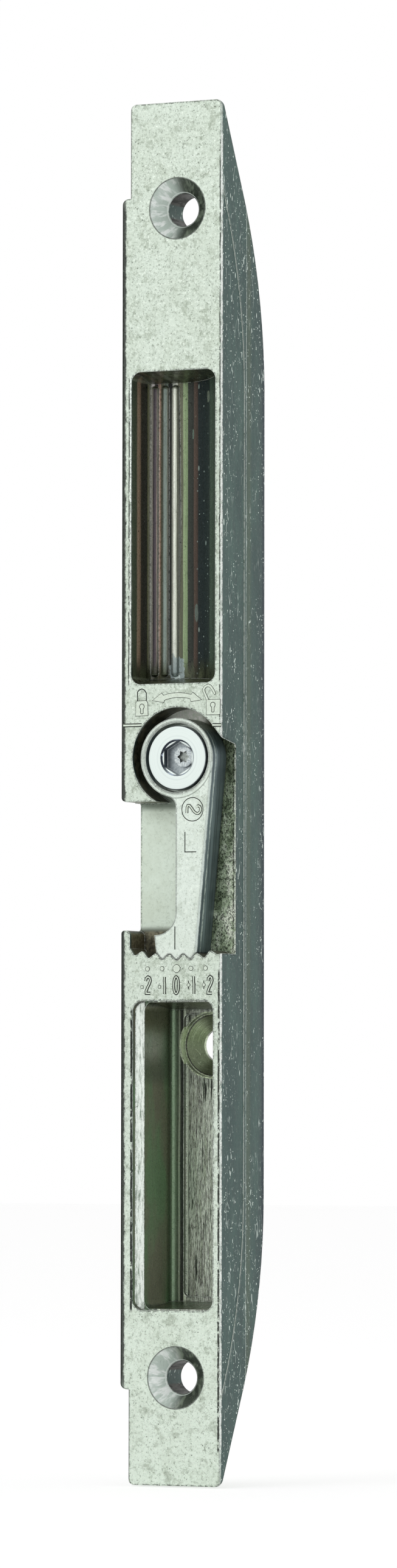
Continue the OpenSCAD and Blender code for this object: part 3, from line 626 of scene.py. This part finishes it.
def body_material():
    g = Metal("plated_zinc_body")
    # Painted shade and reflection by the way a face looks, and painted shade on faces that look up or down
    base = g.rulers(g.nx, ACROSS_SHADE_AND_REFLECTION)
    tilt = g.math("ABSOLUTE", g.nz)
    base = g.mix(g.step(tilt, 0.35, 0.95, 0.0, 0.75), base, srgb(92, 104, 90))
    base = g.mix(g.mul(g.step(g.z, -35.0, -80.0), g.step(g.facing, 0.9, 0.97)), base, srgb(223, 236, 222))
    colour, pits, hairs = front_finish(g, base)
    for cz in (SCREW_Z, -SCREW_Z):
        colour = countersink(g, colour, cz)

    left_flank = g.all(g.step(g.nx, -0.88, -0.94), g.step(g.x, -8.0, -8.4), g.step(g.depth, 1.0, 1.8))
    flanks = g.most(g.step(g.nx, 0.88, 0.94), left_flank)
    colour = g.mix(flanks, colour, flank_reflection_and_nicks(g))

    not_back = g.step(g.facing, -0.6, -0.3)
    colour = recess_walls(g, colour, tilt, not_back)
    inner = g.mul(g.step(g.depth, 0.12, 0.3), not_back)
    in_upper = g.all(g.band(g.z, *UPPER_Z, 0.05), g.band(g.x, *UPPER_X, 0.04), inner)
    colour = g.mix(in_upper, colour, upper_pocket(g))
    in_lower = g.all(g.band(g.z, *LOWER_Z, 0.05), g.band(g.x, *LOWER_X, 0.03), inner)
    colour = g.mix(in_lower, colour, lower_pocket(g))
    level = g.band(g.depth, RECESS_DEPTH - 0.2, RECESS_DEPTH + 0.2, 0.05)
    on_floor = g.all(g.step(g.facing, 0.8, 0.95), level, g.band(g.z, -25.0, 13.0, 0.1))
    colour = g.mix(on_floor, colour, back_floor(g))
    colour = margin_shade_and_highlights(g, colour)
    colour = edge_soil_shade_and_highlight(g, colour, clean=g.mul(on_floor, g.step(g.z, *HEAD_FLOOR_Z)))

    inside = g.most(in_upper, in_lower)
    rough = g.sub(g.step(g.grain, 0.3, 0.7, 0.4, 0.52), g.mul(inside, 0.16))
    height = g.sub(g.sum(g.mul(g.fine, 0.3), g.mul(g.grain, 0.5)), g.mul(g.most(pits, hairs), 0.8))
    normal = g.bump(height, 0.45, 0.06 * MM, g.soft)
    # Dark colours, painted shade among them, reflect less than the plating
    bright = g.add("ShaderNodeRGBToBW", {0: colour})
    specular = g.math("MAXIMUM", g.step(bright, 0.01, 0.08, 0.06, 0.5), g.mul(inside, 0.5))
    return g.finish(colour, rough, 0.45, normal, specular)


def lever_material():
    g = Metal("plated_zinc_lever")
    # Painted shade and reflection by the way a face looks
    base = g.rulers(g.nx, ACROSS_SHADE_AND_REFLECTION)
    face = g.mix(g.step(g.facing, 0.9, 0.97), base, srgb(220, 231, 221))
    tilt = g.math("ABSOLUTE", g.nz)
    # Painted shade on faces that look up or down
    face = g.mix(g.step(tilt, 0.35, 0.95, 0.0, 0.7), face, srgb(84, 92, 82))
    colour, pits, _ = front_finish(g, face, 0.6)
    radius, _ = g.polar(0.0, PIVOT_Z)
    head_line = g.band(radius, HEAD_LINE_R, HEAD_LINE_R + 0.15, 0.05)
    colour = g.mix(g.mul(head_line, 0.6), colour, srgb(84, 94, 82))
    run = g.stretch(1.0, 2.2, 0.05)
    # The side: a slate tone that is painted reflection, darker further back, with painted highlight lines and
    # light nicks
    side = g.two_tone(g.noise(run, 0.9, 3.0), 0.35, 0.65, (72, 88, 92), (124, 142, 144))
    side = g.mix(g.step(g.depth, 1.4, 3.6, 0.0, 0.6), side, srgb(64, 76, 80))
    wavy = g.sum(g.depth, g.mul(g.sub(g.noise(g.p, 0.5, 3.0, 0.7), 0.5), 0.5))
    for near, far, low, strength in LEVER_SIDE_HIGHLIGHTS:
        broken = g.step(g.noise(g.stretch(1.0, 1.0, 0.5), 1.4, 4.0, 0.8), low, low + 0.14, 0.2, strength)
        side = g.mix(g.mul(g.band(wavy, near, far, 0.06), broken), side, srgb(214, 228, 220))
    side = g.mix(g.mul(g.spots(g.stretch(1.0, 1.0, 0.4), 0.9, 0.14, 0.2), 0.7), side, srgb(170, 182, 176))
    colour = g.mix(g.step(g.nx, 0.6, 0.8), colour, side)
    colour = edge_soil_shade_and_highlight(g, colour, 0.4, 0.5)
    rough = g.step(g.grain, 0.3, 0.7, 0.34, 0.44)
    height = g.sub(g.sum(g.mul(g.fine, 0.25), g.mul(g.grain, 0.3)), g.mul(pits, 0.8))
    return g.finish(colour, rough, 0.45, g.bump(height, 0.35, 0.05 * MM, g.soft))


def eccentric_material():
    g = Metal("turned_steel_eccentric")
    radius, _ = g.polar(0.0, PIVOT_Z)
    turned = g.noise(g.join(radius, 0.0, 0.0), 9.0, 2.0, 0.6)
    pale = g.mix(g.step(turned, 0.3, 0.7), srgb(217, 228, 223), srgb(227, 237, 233))
    turned_line = g.band(radius, TURNED_LINE_R, TURNED_LINE_R + 0.08, 0.04)
    pale = g.mix(g.mul(turned_line, 0.25), pale, srgb(170, 182, 182))
    pale = g.mix(g.mul(g.spots(g.p, 1.0, 0.1, 0.14), 0.4), pale, srgb(176, 186, 186))
    # Painted shade in the gap round the disc
    pale = g.mix(g.step(radius, DISC_R, DISC_R + 0.12), pale, srgb(70, 80, 80))
    # Painted light and shade on the socket's walls by the way they look, and painted reflection as haze
    facets = g.rulers(g.nz, HEX_WALL_LIGHT_AND_SHADE)
    haze = g.noise(g.stretch(1.0, 1.0, 0.5), 0.9, 3.0, 0.6)
    facets = g.mix(g.step(haze, 0.5, 0.7, 0.0, 0.3), facets, srgb(150, 166, 176))
    stains = g.noise(g.stretch(2.0, 1.0, 2.0), 1.6, 2.0)
    facets = g.mix(g.step(stains, 0.6, 0.66, 0.0, 0.8), facets, srgb(24, 30, 38))
    near_rivet, turn = g.polar(*RIVET)
    wrinkles = g.noise(g.join(g.mul(turn, 3.0), g.mul(near_rivet, 0.5), 0.0), 2.4, 3.0, 0.7)
    floor = g.mul(g.step(g.depth, 1.2, 1.5), g.step(g.facing, 0.8, 0.95))
    floor_colour = g.mix(g.step(wrinkles, 0.35, 0.65), srgb(140, 150, 153), srgb(172, 181, 183))
    # Painted shadow on the left of the socket floor
    floor_colour = g.mix(g.step(g.x, -0.4, -1.7, 0.0, 0.6), floor_colour, srgb(84, 94, 100))
    colour = g.mix(g.step(g.facing, 0.5, 0.9), facets, pale)
    mouth = g.mul(g.band(g.facing, 0.45, 0.88, 0.04), g.step(radius, SOCKET_R, SOCKET_R - 0.1))
    # Painted light, shade and glints on the socket's chamfer
    glint = g.noise(g.join(g.mul(g.nz, 3.0), g.mul(radius, 2.0), 0.0), 1.4, 2.0)
    lit = g.rulers(g.sub(g.nx, g.mul(g.nz, 0.8)), HEX_CHAMFER_LIGHT_AND_SHADE)
    lit = g.mix(g.step(glint, 0.58, 0.64, 0.0, 0.9), lit, srgb(200, 214, 232))
    colour = g.mix(mouth, colour, lit)
    colour = g.mix(floor, colour, floor_colour)
    # Painted highlight along the edges
    colour = g.mix(g.mul(g.step(g.edge, 0.08, 0.18), 0.5), colour, srgb(246, 250, 250))
    normal = g.bump(g.sum(g.mul(turned, 0.3), g.all(wrinkles, floor, 1.2)), 0.25, 0.04 * MM, g.soft)
    return g.finish(colour, 0.28, 0.5, normal)


def rivet_material():
    g = Metal("formed_steel_rivet")
    near_rivet, turn = g.polar(*RIVET)
    folds = g.noise(g.join(g.mul(turn, 3.0), g.mul(near_rivet, 0.8), 0.0), 2.2, 3.0, 0.7)
    colour = g.mix(g.step(folds, 0.35, 0.65), srgb(150, 160, 163), srgb(206, 213, 212))
    head_line = g.band(near_rivet, RIVET_HEAD_R, RIVET_HEAD_R + 0.13, 0.06)
    colour = g.mix(g.mul(head_line, 0.5), colour, srgb(92, 102, 108))
    in_star = g.mul(g.step(g.depth, 1.4, 1.6), 0.7)
    colour = g.mix(in_star, colour, g.two_tone(g.grain, 0.35, 0.65, (78, 84, 76), (150, 158, 148)))
    # Painted shade on faces that turn away from the front
    colour = g.mix(g.step(g.facing, 0.6, 0.3, 0.0, 0.8), colour, srgb(40, 46, 50))
    return g.finish(colour, 0.3, 0.6, g.bump(g.sum(g.fine, folds), 0.25, 0.03 * MM))


def mark_top_material():
    """Raised marks are smoother and paler than the face round them."""
    g = Metal("plated_zinc_mark_tops")
    tops = g.two_tone(g.grain, 0.34, 0.66, (216, 227, 213), (198, 209, 194))
    return g.finish(tops, 0.42, 0.45, g.bump(g.fine, 0.3, 0.03 * MM))


def mark_line_material():
    """Dark lines along the outlines of the marks."""
    g = Metal("dark_mark_outlines")
    tone = g.two_tone(g.noise(g.p, 1.6, 4.0, 0.8), 0.5, 0.74, (26, 32, 26), (104, 118, 98))
    return g.finish(tone, 0.6, 0.2, g.bump(g.fine, 0.3, 0.02 * MM))


# Raised marks

class Relief:
    """Flat-topped shapes raised on a face that looks along -Y. Places are in millimetres."""

    def __init__(self, face_y, height, sink=0.03):
        self.top = face_y - height
        self.low = face_y + sink
        self.verts, self.faces = [], []

    def prism(self, outline):
        """A raised closed outline."""
        n, start = len(outline), len(self.verts)
        self.verts += [(px, self.low, pz) for px, pz in outline] + [(px, self.top, pz) for px, pz in outline]
        self.faces.append([start + n + i for i in range(n)])
        for i in range(n):
            after = (i + 1) % n
            self.faces.append([start + i, start + after, start + n + after, start + n + i])

    def stroke(self, points, width, closed=False):
        """A raised ribbon along the points."""
        n, start = len(points), len(self.verts)
        for i in range(n):
            here = Vector(points[i])
            before = here - Vector(points[i - 1]) if (i > 0 or closed) else Vector((0, 0))
            after = Vector(points[(i + 1) % n]) - here if (i < n - 1 or closed) else Vector((0, 0))
            before = before.normalized() if before.length > 1e-9 else after.normalized()
            after = after.normalized() if after.length > 1e-9 else before
            mean = before + after
            mean = mean.normalized() if mean.length > 1e-6 else before
            across = Vector((-mean.y, mean.x))
            reach = width / 2 / max(0.5, across.dot(Vector((-before.y, before.x))))
            for side, level in ((1, self.low), (1, self.top), (-1, self.top), (-1, self.low)):
                at = here + across * side * reach
                self.verts.append((at.x, level, at.y))
        for i in range(n if closed else n - 1):
            a, b = start + 4 * i, start + 4 * ((i + 1) % n)
            self.faces += [[a + k, a + k + 1, b + k + 1, b + k] for k in range(3)]
        if not closed:
            end = start + 4 * (n - 1)
            self.faces += [[start, start + 3, start + 2, start + 1], [end, end + 1, end + 2, end + 3]]

    def lump(self, cx, cz, rx, rz, height, turn=0.0, rings=5, around=18):
        """A low rounded burr on the face."""
        start = len(self.verts)
        c, s = math.cos(math.radians(turn)), math.sin(math.radians(turn))
        for i in range(rings):
            share = 1.0 - i / rings
            level = self.low - (self.low - self.top + height) * math.sin(math.pi / 2 * i / rings)
            for j in range(around):
                a = 2 * math.pi * j / around
                uneven = 1.0 + random.uniform(-0.09, 0.09)
                px, pz = rx * share * math.cos(a) * uneven, rz * share * math.sin(a) * uneven
                self.verts.append((cx + px * c - pz * s, level, cz + px * s + pz * c))
        self.verts.append((cx, self.top - height, cz))
        for i in range(rings - 1):
            for j in range(around):
                k = (j + 1) % around
                a, b = start + i * around, start + (i + 1) * around
                self.faces.append([a + j, a + k, b + k, b + j])
        last, tip = start + (rings - 1) * around, len(self.verts) - 1
        for j in range(around):
            self.faces.append([last + j, last + (j + 1) % around, tip])

    def build(self, name, body, slot, material):
        mesh = bpy.data.meshes.new(name)
        mesh.from_pydata([(a * MM, b * MM, c * MM) for a, b, c in self.verts], [], self.faces)
        mesh.validate()
        mesh.update()
        piece = bpy.data.objects.new(name, mesh)
        bpy.context.collection.objects.link(piece)
        piece.data.materials.append(material)
        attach(piece, body)


def ellipse_point(cx, cz, rx, rz, degrees):
    return (cx + rx * math.cos(math.radians(degrees)), cz + rz * math.sin(math.radians(degrees)))


def arc(cx, cz, r, start, stop, steps):
    return [ellipse_point(cx, cz, r, r, start + (stop - start) * i / steps) for i in range(steps + 1)]


def ring(cx, cz, r, steps=24):
    return arc(cx, cz, r, 0, 360, steps)[:-1]


def square(cx, cz, half):
    return [(cx - half, cz - half), (cx + half, cz - half), (cx + half, cz + half), (cx - half, cz + half)]


def keyhole(cx, cz):
    """The outline of a keyhole, its round part centred at (cx, cz)."""
    foot = [(cx - 0.2, cz - 0.95), (cx - 0.12, cz - 1.05), (cx + 0.12, cz - 1.05), (cx + 0.2, cz - 0.95)]
    return arc(cx, cz, 0.38, -58, 238, 18) + foot


# Outlines of the marks, read off the photograph, in its pixels.
LOCK_BODY = [
    (224.2, 1154.3), (225.8, 1152.3), (240.6, 1151.3), (242.7, 1154.8), (243.2, 1175.2), (223.5, 1176.2),
]
LOCK_SHACKLE = [
    (226.4, 1152.2), (226.3, 1137), (228.8, 1133.8), (233.5, 1131.9), (237.6, 1133.8), (240.6, 1138.5),
    (240.7, 1151.3),
]
OPEN_BODY = [(339.7, 1149.8), (362, 1149.2), (361.6, 1173.4), (339.8, 1174.2)]
OPEN_SHACKLE = [
    (339.5, 1149.5), (336.2, 1141), (334.2, 1136), (334.2, 1131), (336.2, 1127.3), (340, 1124.9),
    (343.5, 1124.3), (347, 1126), (350, 1130), (352.5, 1134), (354.6, 1138.8), (353.5, 1141), (352, 1139.8),
    (349.5, 1135), (347, 1131), (344.5, 1128.4), (341.3, 1127.9), (338, 1129.6), (336.4, 1132.6),
    (336.9, 1136), (339.7, 1141.5), (343, 1149.5),
]
ARROW = [
    (251.5, 1151), (266, 1139), (269, 1142.9), (275, 1140.7), (282, 1139.3), (290, 1138.4), (297, 1138.2),
    (303, 1138.9), (310, 1140.4), (315.2, 1141), (317.2, 1137.6), (331, 1149.4), (314.3, 1152.2),
    (313.4, 1147.8), (308, 1146.4), (300, 1145.4), (290, 1145.4), (281, 1146.8), (273, 1149),
    (270.3, 1150.4), (269.5, 1153.7),
]
NUMERALS = [
    [(239.8, 1612), (240.5, 1607.5), (243.5, 1604.9), (246.5, 1606.7), (247.5, 1611), (246, 1616),
     (243, 1622), (240.4, 1628), (240.4, 1631.9), (247.4, 1631.9)],
    [(270.8, 1604.8), (270.2, 1611.5), (271, 1618), (270.9, 1633.3)],
    [(318.6, 1603.8), (318.3, 1611), (319, 1617), (319, 1632.8)],
    [(342.2, 1611.8), (342.8, 1607), (345.6, 1604.2), (348.4, 1606.2), (349, 1611), (347, 1617),
     (344, 1623), (342.1, 1628.5), (342, 1631.6), (348.6, 1631.5)],
]
LEVER_TWO = [
    (307.5, 1336), (307.8, 1326), (309, 1323.2), (311.6, 1323.2), (315, 1327), (319, 1333), (322.5, 1336),
    (326, 1336.4), (329.2, 1333.5), (330.4, 1329), (329, 1325.4), (326.2, 1323.8), (324.4, 1324.9),
]
SMALL_DOTS = [(242.7, 1591.8), (266.7, 1591.3), (314, 1590.8), (338, 1590.5)]
LARGE_DOT = [(290.4, 1591.2)]
MINUS_SIGNS = [(233.7, 1621.7), (262.6, 1621.3)]

# Other marks, in millimetres.
LINE_W = 0.15
SMALL_DOT_R, LARGE_DOT_R, MINUS_HALF = 0.29, 0.54, 0.16
PLUS_X, PLUS_Z, PLUS_HALF = (2.01, 4.46), -28.06, 0.26
ZERO_CENTRE, ZERO_HALF_W, ZERO_HALF_H = (0.02, -28.08), 0.4, 1.22
KEYHOLES = [(-5.55, 12.27), (5.85, 12.25)]
SEAMS = [[(-8.56, 9.6), (-7.48, 9.61), (-6.39, 9.6), (-5.6, 9.62)], [(5.75, 9.35), (6.5, 9.33), (7.15, 9.32)]]
LEVER_RING, LEVER_RING_R = (2.58, -2.75), 1.7
LEVER_LETTER = [(1.38, -5.98), (1.38, -8.89), (3.2, -8.89)]
INDEX_LINE = [(-0.2, -19.61), (-0.2, -22.94)]
MARK_HEIGHT, LINE_HEIGHT, KEYHOLE_HEIGHT = 0.05, 0.012, 0.062
NUMERAL_W, ZERO_W, TICK_W, KEYHOLE_W, SEAM_W = 0.17, 0.15, 0.14, 0.09, 0.24
TWO_W, LEVER_RING_W, LETTER_W, INDEX_W = 0.2, 0.12, 0.14, 0.15

# Flash left by the die along the margins: centre, half width, half height, rise and turn in degrees.
BURRS = [
    (-7.95, 54.0, 0.4, 0.5, 0.16, 20),
    (-7.62, 53.75, 0.22, 0.3, 0.1, 0),
    (6.72, 39.2, 0.5, 0.75, 0.14, 0),
    (6.95, 38.2, 0.3, 0.5, 0.1, 10),
    (7.0, 36.9, 0.22, 0.5, 0.1, 0),
    (7.02, -42.3, 0.2, 0.6, 0.12, 0),
    (6.96, 52.5, 0.16, 0.3, 0.08, 0),
]


def bordered_stroke(tops, lines, points, width, closed=False):
    """A raised ribbon with a dark line along each side."""
    tops.stroke(points, width, closed)
    lines.stroke(points, width + 2 * LINE_W, closed)


def plate_marks(top_mat, line_mat):
    tops, lines = Relief(FRONT_Y, MARK_HEIGHT), Relief(FRONT_Y, LINE_HEIGHT)
    outlines = [on_face(pixels) for pixels in (LOCK_BODY, OPEN_BODY, ARROW, OPEN_SHACKLE)]
    outlines += [ring(px, pz, SMALL_DOT_R) for px, pz in on_face(SMALL_DOTS)]
    outlines += [ring(px, pz, LARGE_DOT_R) for px, pz in on_face(LARGE_DOT)]
    outlines += [square(px, pz, MINUS_HALF) for px, pz in on_face(MINUS_SIGNS)]
    # Each plus sign is a lozenge with a tick above and below
    low, high = PLUS_Z - PLUS_HALF, PLUS_Z + PLUS_HALF
    for px in PLUS_X:
        outlines.append([(px, low), (px + 0.25, PLUS_Z), (px, high), (px - 0.25, PLUS_Z)])
        lines.stroke([(px - 0.06, high + 0.35), (px, high)], TICK_W)
        lines.stroke([(px, low), (px - 0.02, low - 0.34)], TICK_W)
    for outline in outlines:
        tops.prism(outline)
        lines.stroke(outline, LINE_W, closed=True)
    for pixels in NUMERALS:
        bordered_stroke(tops, lines, on_face(pixels), NUMERAL_W)
    zero = [ellipse_point(*ZERO_CENTRE, ZERO_HALF_W, ZERO_HALF_H, 360 * i / 28) for i in range(28)]
    bordered_stroke(tops, lines, zero, ZERO_W, closed=True)
    lines.stroke(on_face(LOCK_SHACKLE), LINE_W, closed=True)
    keyholes = Relief(FRONT_Y, KEYHOLE_HEIGHT)
    for centre in KEYHOLES:
        keyholes.stroke(keyhole(*centre), KEYHOLE_W, closed=True)
    for seam in SEAMS:
        bordered_stroke(tops, lines, seam, SEAM_W)
    tops.build("plate_marks", "plate", "plated_zinc", top_mat)
    lines.build("plate_mark_lines", "plate", "plated_zinc", line_mat)
    keyholes.build("padlock_keyholes", "plate", "plated_zinc", line_mat)


def plate_burrs(material):
    burrs = Relief(FRONT_Y, 0.0, 0.02)
    for burr in BURRS:
        burrs.lump(*burr)
    burrs.build("plate_burrs", "plate", "plated_zinc", material)


def lever_marks(top_mat, line_mat):
    tops, lines = Relief(LEVER_Y, MARK_HEIGHT), Relief(LEVER_Y, LINE_HEIGHT)
    lines.stroke(ring(*LEVER_RING, LEVER_RING_R, 48), LEVER_RING_W, closed=True)
    lines.stroke(on_face(LEVER_TWO), TWO_W + 1.6 * LINE_W)
    tops.stroke(on_face(LEVER_TWO), TWO_W)
    lines.stroke(LEVER_LETTER, LETTER_W)
    lines.stroke(INDEX_LINE, INDEX_W)
    tops.build("lever_marks", "lever", "plated_zinc_lever", top_mat)
    lines.build("lever_mark_lines", "lever", "plated_zinc_lever", line_mat)


# Floor and world, in metres

FLOOR_Z, FLOOR_HALF = -0.1002, 3
FLOOR_GREY, FLOOR_LIFT = 0.86, 0.4
WORLD_LIGHT, WORLD_SEEN = 0.62, 1.0
KEY_POWER, FILL_POWER = 3.0, 0.6


def ray_mask(tree, kinds):
    """1 for these kinds of ray, as the Light Path node names them, and 0 for the rest."""
    path = tree.nodes.new("ShaderNodeLightPath")
    total = path.outputs[kinds[0]]
    for kind in kinds[1:]:
        either = tree.nodes.new("ShaderNodeMath")
        either.operation = "MAXIMUM"
        tree.links.new(total, either.inputs[0])
        tree.links.new(path.outputs[kind], either.inputs[1])
        total = either.outputs[0]
    return total


def floor_material():
    """Pale and rough. The camera and reflections see it brighter, and it still shows the shadow."""
    mat = bpy.data.materials.new("pale_floor")
    mat.use_nodes = True
    tree = mat.node_tree
    bsdf = tree.nodes["Principled BSDF"]
    bsdf.inputs["Base Color"].default_value = (FLOOR_GREY, FLOOR_GREY, FLOOR_GREY, 1.0)
    bsdf.inputs["Roughness"].default_value = 0.9
    bsdf.inputs["Emission Color"].default_value = (1, 1, 1, 1)
    lift = tree.nodes.new("ShaderNodeMath")
    lift.operation = "MULTIPLY"
    tree.links.new(ray_mask(tree, ("Is Camera Ray", "Is Glossy Ray")), lift.inputs[0])
    lift.inputs[1].default_value = FLOOR_LIFT
    tree.links.new(lift.outputs[0], bsdf.inputs["Emission Strength"])
    return mat


def make_floor():
    left, right = -FLOOR_HALF, FLOOR_HALF
    corners = [(left, left, FLOOR_Z), (right, left, FLOOR_Z), (right, right, FLOOR_Z), (left, right, FLOOR_Z)]
    mesh = bpy.data.meshes.new("floor")
    mesh.from_pydata(corners, [], [(0, 1, 2, 3)])
    floor = bpy.data.objects.new("floor", mesh)
    bpy.context.collection.objects.link(floor)
    floor.data.materials.append(floor_material())


def make_world():
    """A dim white world that looks white to the camera, in reflections and through glass."""
    world = bpy.data.worlds.new("studio")
    bpy.context.scene.world = world
    world.use_nodes = True
    tree = world.node_tree
    background = tree.nodes["Background"]
    level = tree.nodes.new("ShaderNodeMapRange")
    seen = ray_mask(tree, ("Is Camera Ray", "Is Transmission Ray", "Is Glossy Ray"))
    tree.links.new(seen, level.inputs[0])
    level.inputs[3].default_value = WORLD_LIGHT
    level.inputs[4].default_value = WORLD_SEEN
    tree.links.new(level.outputs[0], background.inputs["Strength"])
    background.inputs["Color"].default_value = (1, 1, 1, 1)


# Scene

make_camera()
bpy.context.scene.view_settings.view_transform = "Standard"

materials = {
    "body": body_material(),
    "lever": lever_material(),
    "eccentric": eccentric_material(),
    "rivet": rivet_material(),
}
for node, material in materials.items():
    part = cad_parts[node]
    part.data.materials.clear()
    part.data.materials.append(material)

top_mat, line_mat = mark_top_material(), mark_line_material()
plate_marks(top_mat, line_mat)
plate_burrs(materials["body"])
lever_marks(top_mat, line_mat)

make_floor()
make_world()
area_light("key", (-0.55, -1.1, 0.55), (0, 0, 0), 0.9, KEY_POWER, 0.9)
area_light("fill", (0.9, -0.9, 0.1), (0, 0, 0), 0.5, FILL_POWER)
